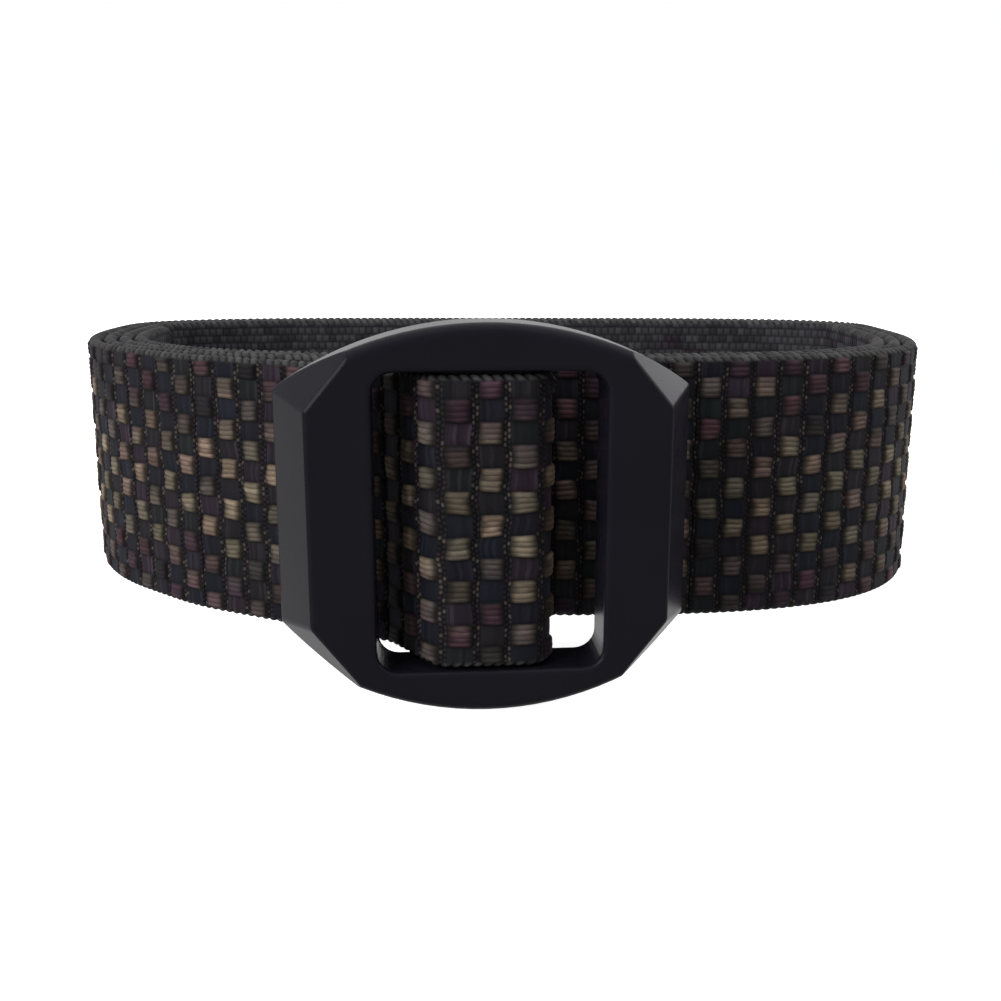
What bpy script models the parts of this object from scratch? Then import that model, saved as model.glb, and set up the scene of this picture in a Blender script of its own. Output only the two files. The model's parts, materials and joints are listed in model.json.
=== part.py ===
"""A webbing belt rolled into an upright oval coil, with a moulded buckle at its outer end.

The belt is designed in its own frame, in millimetres: X to the right, Y away from the buckle's
side, Z up from the webbing's lower edge. An empty named belt_frame then leans the whole belt
back, because the buckle hangs lower than the webbing, and stands it on Z = 0.
"""

import math

import bmesh
import bpy
from mathutils import Matrix, Vector

MM = 0.001
GAP = 0.3  # clearance between pieces that touch on the real belt

# Webbing
WEB_WIDTH = 38.0
WEB_THICK = 2.1
WEB_EDGE = 0.5  # corner chamfer of the webbing's section
PATH_STEP = 4.0  # longest straight side along a curve
TIP_STEP = 1.0  # the same where the sealed end is rounded off
CORNER_STEP = math.radians(10)  # most that a path turns at one point of a rounded corner
BAR_STEP = math.radians(12)  # the same where it goes round the centre bar
NEARLY_EQUAL = 0.05  # path points closer than this are one point
MERGE_DISTANCE = 0.002  # for corners that several cuts meet in
SHARPEST_MITRE = 0.5  # least cosine by which a ribbon is widened at a bend
WINDING_STEPS = 1440  # to each turn, before the path is thinned out
SMALL_ANGLE = 1e-4  # for the slope of a curve

# Coil: an oval with its own squareness in each quarter, wound inwards
COIL_CENTRE = Vector((0.0, 17.0))
COIL_LEFT = 71.8
COIL_RIGHT = 71.6
COIL_FRONT = 57.6
COIL_BACK = 25.0
SQUARE_FRONT_LEFT = 2.5
SQUARE_FRONT_RIGHT = 3.2
SQUARE_BACK = 3.3
TURN_PITCH = 2.45
TURNS = 3.12
START_ANGLE = math.radians(217.7)  # where the outer turn leaves the coil
TIP_LENGTH = 12.0
TIP_CORNER = 5.0

# Centre bar and the webbing's loop round it; its places are in the buckle's own axes
BAR_LEFT = -4.8
BAR_RIGHT = 4.2
BAR_DEPTH = 4.2
BAR_HALF_THICK = 1.7
BAR_SOCKET = 2.0  # how far each end sits in the frame
BAR_ROUND_STEPS = 8  # round each edge of the bar
LOOP_RADIUS = BAR_HALF_THICK + GAP + WEB_THICK / 2
LOOP_SLOPE = math.radians(54.0)
LEAD_SLOPE = math.radians(27.0)
LEAD_POINT = Vector((-33.3, -40.6))  # on the outer face of the straight lead
LEAD_ROUND = 40.0
BEND_ROUND = 6.0
RETURN_ROUND = 2.2
RETURN_END_X = -25.4
FLEX_X = -28.4  # where the webbing bends behind the buckle
FLEX_GAP = 0.5

# Stitching that closes the loop
TACK_XS = (-20.4, -23.4)
TACK_WIDTH = 1.3
TACK_SHANK = 0.5
TACK_HEAD = 0.5
TACK_HEIGHT = 9.0
TACK_ROWS = 3

# Buckle frame, about the centre of its front face
FRAME_CENTRE = Vector((-1.2, -59.0, 19.25))
FRAME_YAW = math.radians(4.5)
FRAME_DEPTH = 8.6
FRAME_HALF_WIDTH = 27.05
FRAME_SHIFT = -0.35  # of the outline against the window, to the left
FRAME_HEIGHTS = (25.35, 25.1)  # below and above the centre
FRAME_SIDE_ENDS = (15.0, 16.4)  # the straight part of each side
FRAME_ARC_STEPS = 28
FACE_HALF_WIDTH = 22.8  # where the side facets start on the front face
FACE_SIDE_ENDS = (13.4, 14.5)
FACE_CORNER_X = 17.4
FACE_CORNER_ENDS = (20.3, 21.0)
FACET_DEPTH = 8.2
FACET_SIDE_ENDS = (14.75, 16.15)  # where the corner facets reach that depth on the sides
WINDOW_WIDTH = 29.3
WINDOW_HEIGHT = 38.7
WINDOW_DROP = 0.25  # below the frame's centre
WINDOW_ROUND = 2.75
WINDOW_STEPS = 6  # round each corner

# Rounding of the frame's edges
ARCH_ROUND = 1.5  # along the front of its arched top and bottom
ARCH_STEPS = 6
BACK_ROUND = 0.4
WINDOW_EDGE = 0.6
EDGE_STEPS = 3
FACET_EASE = 0.5  # width of the flat that eases an edge between two flat faces

# The belt leans back until the buckle and the coil's rear edge share the ground
LEAN = math.radians(-3.82)

COLOURS = {
    "webbing_coil": ((0.075, 0.062, 0.058), 0.85),
    "webbing_lead": ((0.080, 0.066, 0.060), 0.85),
    "webbing_loop": ((0.085, 0.066, 0.056), 0.85),
    "tail_tip": ((0.030, 0.029, 0.033), 0.45),
    "buckle_frame": ((0.022, 0.022, 0.027), 0.50),
    "centre_bar": ((0.022, 0.022, 0.027), 0.50),
    "bar_tack": ((0.040, 0.036, 0.040), 0.80),
}


def clear_scene():
    for obj in list(bpy.data.objects):
        bpy.data.objects.remove(obj, do_unlink=True)


def material_for(name):
    colour, roughness = COLOURS[name.rstrip("_0123456789")]
    material = bpy.data.materials.new(name)
    material.use_nodes = True
    shader = material.node_tree.nodes["Principled BSDF"]
    shader.inputs["Base Color"].default_value = (*colour, 1.0)
    shader.inputs["Roughness"].default_value = roughness
    shader.inputs["Metallic"].default_value = 0.0
    return material


def add_object(name, bm, parent):
    bmesh.ops.scale(bm, vec=(MM, MM, MM), verts=bm.verts)
    bmesh.ops.recalc_face_normals(bm, faces=bm.faces)
    mesh = bpy.data.meshes.new(name)
    bm.to_mesh(mesh)
    bm.free()
    obj = bpy.data.objects.new(name, mesh)
    bpy.context.scene.collection.objects.link(obj)
    obj.parent = parent
    return obj


def add_part(name, bm, parent):
    part = add_object(name, bm, parent)
    part.data.materials.append(material_for(name))
    return part


def add_cutter(name, bm, parent):
    cutter = add_object(name, bm, parent)
    cutter.display_type = "WIRE"
    cutter.hide_render = True
    return cutter


def cut(obj, cutter):
    modifier = obj.modifiers.new("cut_" + cutter.name, "BOOLEAN")
    modifier.operation = "DIFFERENCE"
    modifier.solver = "EXACT"
    modifier.object = cutter


# Plan-view curves


def left_of(direction):
    """The direction a quarter turn anticlockwise, seen from above."""
    return Vector((-direction.y, direction.x))


def oval_point(angle):
    """A point of the coil's outer oval, at that angle about the coil's centre."""
    c, s = math.cos(angle), math.sin(angle)
    half_width = COIL_RIGHT if c > 0 else COIL_LEFT
    half_depth = COIL_BACK if s > 0 else COIL_FRONT
    front = SQUARE_FRONT_RIGHT if c > 0 else SQUARE_FRONT_LEFT
    n = SQUARE_BACK if s > 0 else front
    reach = (abs(c / half_width) ** n + abs(s / half_depth) ** n) ** (-1 / n)
    return COIL_CENTRE + reach * Vector((c, s))


def wound_point(turned, inset):
    """A point after turning that far round the coil, inset from the outer face of its turn."""
    angle = START_ANGLE - turned
    here = oval_point(angle)
    along = (oval_point(angle - SMALL_ANGLE) - oval_point(angle + SMALL_ANGLE)).normalized()
    inwards = -left_of(along)
    return here + inwards * (inset + TURN_PITCH * turned / (2 * math.pi))


def wound_path():
    """The coil's centre line from the outer end inwards, with about PATH_STEP between points."""
    fine = WINDING_STEPS * math.ceil(TURNS)
    turned = [2 * math.pi * TURNS * i / fine for i in range(fine + 1)]
    return thinned([wound_point(t, WEB_THICK / 2) for t in turned], PATH_STEP)


def path_lengths(points):
    lengths = [0.0]
    for a, b in zip(points, points[1:]):
        lengths.append(lengths[-1] + (b - a).length)
    return lengths


def point_at(points, lengths, distance):
    for i in range(1, len(points)):
        if lengths[i] >= distance or i == len(points) - 1:
            span = lengths[i] - lengths[i - 1]
            return points[i - 1].lerp(points[i], (distance - lengths[i - 1]) / span)
    return points[-1]


def thinned(points, step):
    lengths = path_lengths(points)
    count = math.ceil(lengths[-1] / step)
    return [point_at(points, lengths, lengths[-1] * i / count) for i in range(count + 1)]


def split_path(points, distance, gap):
    """Two paths, cut at that distance with a gap centred on it."""
    lengths = path_lengths(points)
    first = [p for p, s in zip(points, lengths) if s < distance - gap / 2 - GAP]
    second = [p for p, s in zip(points, lengths) if s > distance + gap / 2 + GAP]
    first.append(point_at(points, lengths, distance - gap / 2))
    second.insert(0, point_at(points, lengths, distance + gap / 2))
    return first, second


def crossing(a, along_a, b, along_b):
    """Where two lines meet, each given by a point and a direction."""
    share = (b - a).dot(left_of(along_b)) / along_a.dot(left_of(along_b))
    return a + along_a * share


def rounded(corners, radii):
    """A path along straight runs, whose inner corners are arcs of the given radii."""
    path = [corners[0]]
    for before, corner, after, radius in zip(corners, corners[1:], corners[2:], radii):
        into = (corner - before).normalized()
        out = (after - corner).normalized()
        turn = math.atan2(into.cross(out), into.dot(out))
        reach = radius * math.tan(abs(turn) / 2)
        side = left_of(into) * math.copysign(radius, turn)
        centre = corner - into * reach + side
        steps = max(2, math.ceil(abs(turn) / CORNER_STEP), math.ceil(radius * abs(turn) / PATH_STEP))
        for i in range(steps + 1):
            swung = Matrix.Rotation(turn * i / steps, 2) @ -side
            path.append(centre + swung)
    path.append(corners[-1])
    return path


def bar_edge_centre(across):
    """Plan-view centre of one of the centre bar's round edges."""
    turned = Matrix.Rotation(FRAME_YAW, 2) @ Vector((across, BAR_DEPTH))
    return FRAME_CENTRE.xy + turned


def bar_arc(across, start, end):
    """Part of the webbing's turn round an edge of the centre bar."""
    centre = bar_edge_centre(across)
    steps = math.ceil(abs(end - start) / BAR_STEP)
    angles = [start + (end - start) * i / steps for i in range(steps + 1)]
    return [centre + LOOP_RADIUS * Vector((math.cos(a), math.sin(a))) for a in angles]


def lead_line():
    """A point and the direction of the lead's straight run, on its centre line."""
    along = Vector((math.cos(LEAD_SLOPE), -math.sin(LEAD_SLOPE)))
    return LEAD_POINT + left_of(along) * WEB_THICK / 2, along


def lead_path():
    """Centre line from the coil's outer end to the front of the centre bar."""
    start = wound_point(0.0, WEB_THICK / 2)
    leaving = (start - wound_point(SMALL_ANGLE, WEB_THICK / 2)).normalized()
    lead, along = lead_line()
    bar_edge = bar_arc(BAR_LEFT, -math.pi / 2 - LOOP_SLOPE, FRAME_YAW - math.pi / 2)
    rising = Vector((math.cos(LOOP_SLOPE), -math.sin(LOOP_SLOPE)))
    corners = [
        start,
        crossing(start, leaving, lead, along),
        crossing(lead, along, bar_edge[0], rising),
        bar_edge[0],
    ]
    return rounded(corners, (LEAD_ROUND, BEND_ROUND))[:-1] + bar_edge


def return_path():
    """Centre line from the front of the bar, round its right edge and back to the sewn end."""
    turn = bar_arc(BAR_RIGHT, FRAME_YAW - math.pi / 2, FRAME_YAW + math.pi / 2)
    backwards = Matrix.Rotation(FRAME_YAW, 2) @ Vector((-1.0, 0.0))
    spacing = WEB_THICK + GAP
    lead, along = lead_line()
    lead = lead + left_of(along) * spacing
    rising = Vector((math.cos(LOOP_SLOPE), -math.sin(LOOP_SLOPE)))
    bar_edge = bar_arc(BAR_LEFT, -math.pi / 2 - LOOP_SLOPE, FRAME_YAW - math.pi / 2)[0]
    beside = bar_edge + left_of(rising) * spacing
    corners = [
        turn[-1],
        crossing(turn[-1], backwards, beside, rising),
        crossing(beside, rising, lead, along),
        crossing(lead, along, Vector((RETURN_END_X, 0.0)), Vector((0.0, 1.0))),
    ]
    return turn + rounded(corners, (RETURN_ROUND, BEND_ROUND + spacing))[1:]


def densified(points, step):
    """The same path with extra points on its long straight runs."""
    path = [points[0]]
    for a, b in zip(points, points[1:]):
        count = math.ceil((b - a).length / step)
        path.extend(a.lerp(b, i / count) for i in range(1, count + 1))
    return path


# Solids


def web_section():
    """The webbing's section as (across its thickness, height) pairs."""
    half = WEB_THICK / 2
    e = WEB_EDGE
    low = [(-half, e), (-half + e, 0.0), (half - e, 0.0), (half, e)]
    high = [(half, WEB_WIDTH - e), (half - e, WEB_WIDTH), (-half + e, WEB_WIDTH), (-half, WEB_WIDTH - e)]
    return low + high


def path_normals(points):
    """At each point, the direction square to the path that keeps the ribbon's thickness."""
    runs = [(b - a).normalized() for a, b in zip(points, points[1:])]
    normals = []
    for before, after in zip([runs[0]] + runs, runs + [runs[-1]]):
        middle = (before + after).normalized()
        normals.append(left_of(middle) / max(SHARPEST_MITRE, middle.dot(after)))
    return normals


def ribbon(points, section):
    """A closed solid: the section carried along a plan-view path."""
    bm = bmesh.new()
    rings = []
    for point, normal in zip(points, path_normals(points)):
        ring = [bm.verts.new((*(point + normal * across), height)) for across, height in section]
        rings.append(ring)
    for ring, following in zip(rings, rings[1:]):
        for i in range(len(ring)):
            j = (i + 1) % len(ring)
            bm.faces.new((ring[i], ring[j], following[j], following[i]))
    bm.faces.new(reversed(rings[0]))
    bm.faces.new(rings[-1])
    return bm


def tip_solid(points):
    """The sealed end: a ribbon whose corners are rounded off towards its last point."""
    lengths = path_lengths(points)
    bm = bmesh.new()
    rings = []
    for point, normal, s in zip(points, path_normals(points), lengths):
        past = max(0.0, s - (lengths[-1] - TIP_CORNER))
        cut_back = TIP_CORNER - math.sqrt(max(0.0, TIP_CORNER**2 - past**2))
        ring = []
        for across, height in web_section():
            share = height / WEB_WIDTH
            height = cut_back + share * (WEB_WIDTH - 2 * cut_back)
            ring.append(bm.verts.new((*(point + normal * across), height)))
        rings.append(ring)
    for ring, following in zip(rings, rings[1:]):
        for i in range(len(ring)):
            j = (i + 1) % len(ring)
            bm.faces.new((ring[i], ring[j], following[j], following[i]))
    bm.faces.new(reversed(rings[0]))
    bm.faces.new(rings[-1])
    return bm


def arc_points(half_chord, ends, apex, inset):
    """Points of an arch, from right to left, whose outer curve stands on the chord at ends."""
    rise = apex - ends
    radius = (half_chord**2 + rise**2) / (2 * rise)
    half_angle = math.asin(half_chord / radius)
    steps = FRAME_ARC_STEPS
    angles = [half_angle * (1 - 2 * i / steps) for i in range(steps + 1)]
    inner = radius - inset
    return [(inner * math.sin(a), apex - radius + inner * math.cos(a)) for a in angles]


def layered(layers):
    """A closed solid through outlines of (x, z) pairs, each at its own depth."""
    bm = bmesh.new()
    rings = [[bm.verts.new((x, depth, z)) for x, z in outline] for depth, outline in layers]
    for ring, following in zip(rings, rings[1:]):
        for i in range(len(ring)):
            j = (i + 1) % len(ring)
            bm.faces.new((ring[i], ring[j], following[j], following[i]))
    bm.faces.new(reversed(rings[0]))
    bm.faces.new(rings[-1])
    return bm


def quarter_round(radius, steps):
    """(depth, inset) pairs of a rounded edge, from the face inwards."""
    angles = [math.pi / 2 * i / steps for i in range(steps + 1)]
    return [(radius * (1 - math.cos(a)), radius * (1 - math.sin(a))) for a in angles]


def slice_off(bm, on_plane, outwards):
    """Removes what lies outside a plane and closes the cut."""
    everything = bm.verts[:] + bm.edges[:] + bm.faces[:]
    result = bmesh.ops.bisect_plane(
        bm, geom=everything, plane_co=on_plane, plane_no=outwards, clear_outer=True
    )
    edges = [e for e in result["geom_cut"] if isinstance(e, bmesh.types.BMEdge)]
    bmesh.ops.contextual_create(bm, geom=edges)


def ease_edge(bm, point, normal_a, normal_b):
    """Cuts a narrow flat along the edge through that point, between two flat faces."""
    between = (normal_a + normal_b).normalized()
    depth = FACET_EASE / 2 * math.tan(normal_a.angle(normal_b) / 2)
    slice_off(bm, point - between * depth, between)


def arched_outline(inset):
    """The buckle's outline seen from the front, with its arches moved inwards."""
    outline = []
    for up, height, side_end in zip((1, -1), reversed(FRAME_HEIGHTS), reversed(FRAME_SIDE_ENDS)):
        arch = arc_points(FRAME_HALF_WIDTH, side_end, height, inset)
        outline.extend((FRAME_SHIFT + up * x, up * z) for x, z in arch)
    return outline


def side_facet(side):
    """A side facet's edge on the front face, its edge on the buckle's side, and its direction."""
    start = Vector((side * FACE_HALF_WIDTH, 0.0, 0.0))
    end = Vector((FRAME_SHIFT + side * FRAME_HALF_WIDTH, FACET_DEPTH, 0.0))
    along = end - start
    return start, end, side * Vector((along.y, -along.x, 0.0)).normalized()


def corner_facets(side):
    """A point on the front edge of each of a side's two corner facets, and its direction."""
    start, end, _ = side_facet(side)
    ends = zip((-1, 1), FACE_SIDE_ENDS, FACE_CORNER_ENDS, FACET_SIDE_ENDS)
    for up, face_end, corner_end, side_end in ends:
        a = Vector((start.x, 0.0, up * face_end))
        b = Vector((side * FACE_CORNER_X, 0.0, up * corner_end))
        c = Vector((end.x, FACET_DEPTH, up * side_end))
        outwards = (b - a).cross(c - a).normalized()
        yield a, outwards if outwards.y < 0 else -outwards


def frame_blank():
    """The buckle's outer form, with its side and corner facets."""
    front = quarter_round(ARCH_ROUND, ARCH_STEPS)
    back = [(FRAME_DEPTH - depth, inset) for depth, inset in quarter_round(BACK_ROUND, EDGE_STEPS)]
    bm = layered([(depth, arched_outline(inset)) for depth, inset in front + back[::-1]])
    for side in (-1, 1):
        start, _, outwards = side_facet(side)
        slice_off(bm, start, outwards)
        for corner, corner_outwards in corner_facets(side):
            slice_off(bm, corner, corner_outwards)
    forwards = Vector((0.0, -1.0, 0.0))
    for side in (-1, 1):
        start, _, outwards = side_facet(side)
        ease_edge(bm, start, forwards, outwards)
        for corner, corner_outwards in corner_facets(side):
            ease_edge(bm, corner, forwards, corner_outwards)
            ease_edge(bm, corner, outwards, corner_outwards)
    bmesh.ops.remove_doubles(bm, verts=bm.verts, dist=MERGE_DISTANCE)
    return bm


def rounded_rectangle(width, height, radius, steps):
    """Points of a rectangle with round corners, about its centre."""
    points = []
    corners = ((1, 1), (-1, 1), (-1, -1), (1, -1))
    for quarter, (sx, sz) in enumerate(corners):
        centre = (sx * (width / 2 - radius), sz * (height / 2 - radius))
        for i in range(steps + 1):
            a = (quarter + i / steps) * math.pi / 2
            points.append((centre[0] + radius * math.cos(a), centre[1] + radius * math.sin(a)))
    return points


def placed_in_frame(bm):
    """Moves a shape from the buckle's own axes to its place on the belt."""
    turn = Matrix.Rotation(FRAME_YAW, 4, "Z")
    bmesh.ops.transform(bm, matrix=Matrix.Translation(FRAME_CENTRE) @ turn, verts=bm.verts)
    return bm


def bar_section(grow):
    """Plan outline of the flat, round-edged centre bar, grown by that much all round."""
    radius = BAR_HALF_THICK + grow
    outline = []
    for across, start in ((BAR_RIGHT, -math.pi / 2), (BAR_LEFT, math.pi / 2)):
        centre = bar_edge_centre(across)
        for i in range(BAR_ROUND_STEPS + 1):
            a = FRAME_YAW + start + math.pi * i / BAR_ROUND_STEPS
            outline.append((centre.x + radius * math.cos(a), centre.y + radius * math.sin(a)))
    return outline


def bar_heights(beyond):
    """The window's lower and upper edge, each moved outwards by that much."""
    middle = FRAME_CENTRE.z - WINDOW_DROP
    reach = WINDOW_HEIGHT / 2 + beyond
    return middle - reach, middle + reach


def upright(outline, low, high):
    """A solid between two heights, from a plan outline."""
    bm = bmesh.new()
    under = [bm.verts.new((x, y, low)) for x, y in outline]
    over = [bm.verts.new((x, y, high)) for x, y in outline]
    for i in range(len(outline)):
        j = (i + 1) % len(outline)
        bm.faces.new((under[i], under[j], over[j], over[i]))
    bm.faces.new(reversed(under))
    bm.faces.new(over)
    return bm


def add_block(bm, centre, along, half_sizes):
    """Adds a box: half sizes along the lead, across its thickness, and up."""
    across = left_of(along)
    matrix = Matrix(
        (
            (along.x * 2 * half_sizes[0], across.x * 2 * half_sizes[1], 0.0, centre.x),
            (along.y * 2 * half_sizes[0], across.y * 2 * half_sizes[1], 0.0, centre.y),
            (0.0, 0.0, 2 * half_sizes[2], centre.z),
            (0.0, 0.0, 0.0, 1.0),
        )
    )
    bmesh.ops.create_cube(bm, size=1.0, matrix=matrix)


def tack_places():
    """Centres of the bar tacks, in the middle of the two sewn layers, row by row."""
    lead, along = lead_line()
    middle = lead + left_of(along) * (WEB_THICK + GAP) / 2
    spacing = WEB_WIDTH / TACK_ROWS
    for x in TACK_XS:
        point = middle + along * ((x - middle.x) / along.x)
        for row in range(TACK_ROWS):
            yield Vector((point.x, point.y, (row + 0.5) * spacing))


def tack_slots():
    """The openings that the bar tacks' thread takes through both layers."""
    along = lead_line()[1]
    bm = bmesh.new()
    reach = 2 * WEB_THICK
    for place in tack_places():
        add_block(bm, place, along, (TACK_SHANK / 2 + GAP, reach, TACK_HEIGHT / 2 + GAP))
    return bm


def tack_outline():
    """Plan outline of one bar tack, as (along, across) pairs: a shank between two heads."""
    face = WEB_THICK + GAP * 1.5
    top = face + TACK_HEAD
    w, s = TACK_WIDTH / 2, TACK_SHANK / 2
    half = [(s, face), (w, face), (w, top), (-w, top), (-w, face), (-s, face)]
    return half + [(-a, -b) for a, b in half]


def tack(place):
    """A bar tack: thread through both layers, standing slightly proud of each face."""
    along = lead_line()[1]
    across = left_of(along)
    outline = []
    for a, b in tack_outline():
        point = Vector((place.x, place.y)) + along * a + across * b
        outline.append((point.x, point.y))
    return upright(outline, place.z - TACK_HEIGHT / 2, place.z + TACK_HEIGHT / 2)


# Sub-parts


def make_webbing(parent):
    """The one strap, as its coil, its lead, its sewn loop and its sealed end."""
    wound = wound_path()
    end = path_lengths(wound)[-1]
    coil, tip = split_path(wound, end - TIP_LENGTH, GAP)
    lead_and_loop = densified(lead_path(), PATH_STEP)
    lengths = path_lengths(lead_and_loop)
    lead, along = lead_line()
    flex = lead + along * ((FLEX_X - lead.x) / along.x)
    flex_distance = min(range(len(lengths)), key=lambda i: (lead_and_loop[i] - flex).length)
    before = lead_and_loop[flex_distance]
    distance = lengths[flex_distance] + (flex - before).dot(along)
    lead_run, loop_front = split_path(lead_and_loop, distance, FLEX_GAP)
    lead_run = split_path(lead_run, GAP, GAP)[1]
    loop = loop_front + densified(return_path(), PATH_STEP)
    section = web_section()
    add_part("webbing_coil", ribbon(coil, section), parent)
    add_part("tail_tip", tip_solid(densified(tip, TIP_STEP)), parent)
    add_part("webbing_lead", ribbon(lead_run, section), parent)
    loop_part = add_part("webbing_loop", ribbon(without_repeats(loop), section), parent)
    cut(loop_part, add_cutter("tack_slot_cutter", tack_slots(), parent))


def without_repeats(points):
    kept = [points[0]]
    for point in points[1:]:
        if (point - kept[-1]).length > NEARLY_EQUAL:
            kept.append(point)
    return kept


def make_stitching(parent):
    for number, place in enumerate(tack_places(), start=1):
        add_part(f"bar_tack_{number}", tack(place), parent)


def window_outline(grow):
    """The window's outline, grown by that much all round."""
    width, height = WINDOW_WIDTH + 2 * grow, WINDOW_HEIGHT + 2 * grow
    corners = rounded_rectangle(width, height, WINDOW_ROUND + grow, WINDOW_STEPS)
    return [(x, z - WINDOW_DROP) for x, z in corners]


def window_cutter():
    """What the window takes out of the frame, flared at both faces for its rounded edges."""
    front = quarter_round(WINDOW_EDGE, EDGE_STEPS)
    back = [(FRAME_DEPTH - depth, flare) for depth, flare in front[::-1]]
    outside = [(-FRAME_DEPTH, WINDOW_EDGE)], [(2 * FRAME_DEPTH, WINDOW_EDGE)]
    layers = outside[0] + front + back + outside[1]
    return layered([(depth, window_outline(flare)) for depth, flare in layers])


def make_frame(parent):
    frame = add_part("buckle_frame", placed_in_frame(frame_blank()), parent)
    cut(frame, add_cutter("window_cutter", placed_in_frame(window_cutter()), parent))
    sockets = upright(bar_section(GAP), *bar_heights(BAR_SOCKET + GAP))
    cut(frame, add_cutter("bar_socket_cutter", sockets, parent))


def make_bar(parent):
    bar = upright(bar_section(0.0), *bar_heights(BAR_SOCKET))
    add_part("centre_bar", bar, parent)


def stand_on_ground(belt_frame):
    """Leans the belt back, then puts its box's bottom centre at the world's origin."""
    belt_frame.rotation_euler.x = LEAN
    bpy.context.view_layer.update()
    points = []
    for obj in belt_frame.children:
        if not obj.hide_render:
            points.extend(obj.matrix_world @ v.co for v in obj.data.vertices)
    low = Vector(min(p[k] for p in points) for k in range(3))
    high = Vector(max(p[k] for p in points) for k in range(3))
    middle = (low + high) / 2
    belt_frame.location = (-middle.x, -middle.y, -low.z)
    bpy.context.view_layer.update()


def build():
    clear_scene()
    belt_frame = bpy.data.objects.new("belt_frame", None)
    bpy.context.scene.collection.objects.link(belt_frame)
    make_webbing(belt_frame)
    make_stitching(belt_frame)
    make_frame(belt_frame)
    make_bar(belt_frame)
    stand_on_ground(belt_frame)


build()
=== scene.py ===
"""The looks of a rolled webbing belt: its weave, stitching and moulded buckle, in a pale studio.

Lengths are in millimetres in the belt's own frame, which the CAD model has too: X to the right,
Y away from the buckle's side, Z up from the webbing's lower edge. belt_to_world() finds where that
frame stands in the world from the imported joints.
"""

import json
import math

import bpy
import numpy as np
from mathutils import Matrix, Vector


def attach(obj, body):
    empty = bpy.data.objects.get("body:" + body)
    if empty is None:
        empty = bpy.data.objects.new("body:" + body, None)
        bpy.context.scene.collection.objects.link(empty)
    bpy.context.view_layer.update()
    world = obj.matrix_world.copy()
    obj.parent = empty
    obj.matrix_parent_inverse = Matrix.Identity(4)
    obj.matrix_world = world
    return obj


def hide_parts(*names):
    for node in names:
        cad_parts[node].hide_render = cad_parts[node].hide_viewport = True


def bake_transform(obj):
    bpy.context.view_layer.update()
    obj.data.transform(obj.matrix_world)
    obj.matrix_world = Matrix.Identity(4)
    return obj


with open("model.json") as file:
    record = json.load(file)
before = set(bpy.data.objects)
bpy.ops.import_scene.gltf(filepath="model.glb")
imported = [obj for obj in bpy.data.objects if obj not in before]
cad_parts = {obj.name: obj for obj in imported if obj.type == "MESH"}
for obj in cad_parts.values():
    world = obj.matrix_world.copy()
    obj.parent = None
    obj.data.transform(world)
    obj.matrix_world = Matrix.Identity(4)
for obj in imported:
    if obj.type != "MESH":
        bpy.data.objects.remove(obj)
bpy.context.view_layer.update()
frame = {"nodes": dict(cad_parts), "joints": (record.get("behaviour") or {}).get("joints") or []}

MM = 0.001
GAP = 0.3  # clearance between pieces that touch on the real belt

# Webbing
WEB_WIDTH = 38.0
WEB_THICK = 2.1
HALF_THICK = WEB_THICK / 2

# Coil: an oval with its own squareness in each quarter, wound inwards
COIL_CENTRE = np.array((0.0, 17.0))
COIL_LEFT = 71.8
COIL_RIGHT = 71.6
COIL_FRONT = 57.6
COIL_BACK = 25.0
SQUARE_FRONT_LEFT = 2.5
SQUARE_FRONT_RIGHT = 3.2
SQUARE_BACK = 3.3
TURN_PITCH = 2.45
TURNS = 3.12
START_ANGLE = math.radians(217.7)  # where the outer turn leaves the coil
TIP_LENGTH = 12.0
TIP_CORNER = 5.0
MELT_START = 5.0  # from the strap's inner end, where its relief begins to melt away
MELT_FADE = 4.0
MELT_SINK = 0.1  # how far the melted face lies below the plain one
SEALED_START = 6.0  # the same for its colour
SEALED_FADE = 5.0

# Centre bar and the webbing's loop round it; its places are in the buckle's own axes
BAR_LEFT = -4.8
BAR_RIGHT = 4.2
BAR_DEPTH = 4.2
BAR_HALF_THICK = 1.7
LOOP_RADIUS = BAR_HALF_THICK + GAP + HALF_THICK
LOOP_SLOPE = math.radians(54.0)
LEAD_SLOPE = math.radians(27.0)
LEAD_POINT = np.array((-33.3, -40.6))  # on the outer face of the straight lead
LEAD_ROUND = 40.0
BEND_ROUND = 6.0
RETURN_ROUND = 2.2
RETURN_END_X = -25.4
FLEX_X = -28.4  # where the webbing bends behind the buckle
LOOP_PAST_BEND = 1.5  # beyond the webbing that turns there, to the loop's own piece
COIL_PIECE_START = 2.0  # inwards from where the strap leaves the coil
OUTER_OVERLAP = 8.0  # of the outer turn's last piece, past one whole turn
FRAME_CENTRE = np.array((-1.2, -59.0))
FRAME_YAW = math.radians(4.5)

# Fineness of the strap's centre line
ARC_STEP = math.radians(2)
COIL_POINTS = 20000
SAME_PLACE = 1e-5  # closer points count as one
STRAP_STEP = 0.05  # between the points that are kept
SIDE_REACH = 0.35  # to each side of a point, to tell which way the strap runs
SMALL_TURN = 0.01  # radians of the coil, to tell which way its end runs
TINY_TURN = 1e-4  # the same for any place on it

# Stitching that closes the loop
TACK_XS = (-20.4, -23.4)
TACK_ROWS = 3
TACK_HEIGHT = 9.0
TACK_WIDTH = 1.9
TACK_PITCH = 0.46  # between neighbouring stitches
STITCH_FILL = 0.9  # of the tack's width, that each stitch crosses
STITCH_RISE = 0.54  # of the pitch, from one end of a stitch to the other
STITCH_SINK = 0.22  # at a stitch's ends
STITCH_CROWN = 0.05  # at its middle
THREAD_RADIUS = 0.2
THREAD_PROUD = 0.7  # of its radius, that the thread's centre stands over the webbing
THREAD_SIDES = 6
THREAD_ASIDE = np.array((0.31, 0.9, 0.3))  # a direction that no stitch runs in

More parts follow.
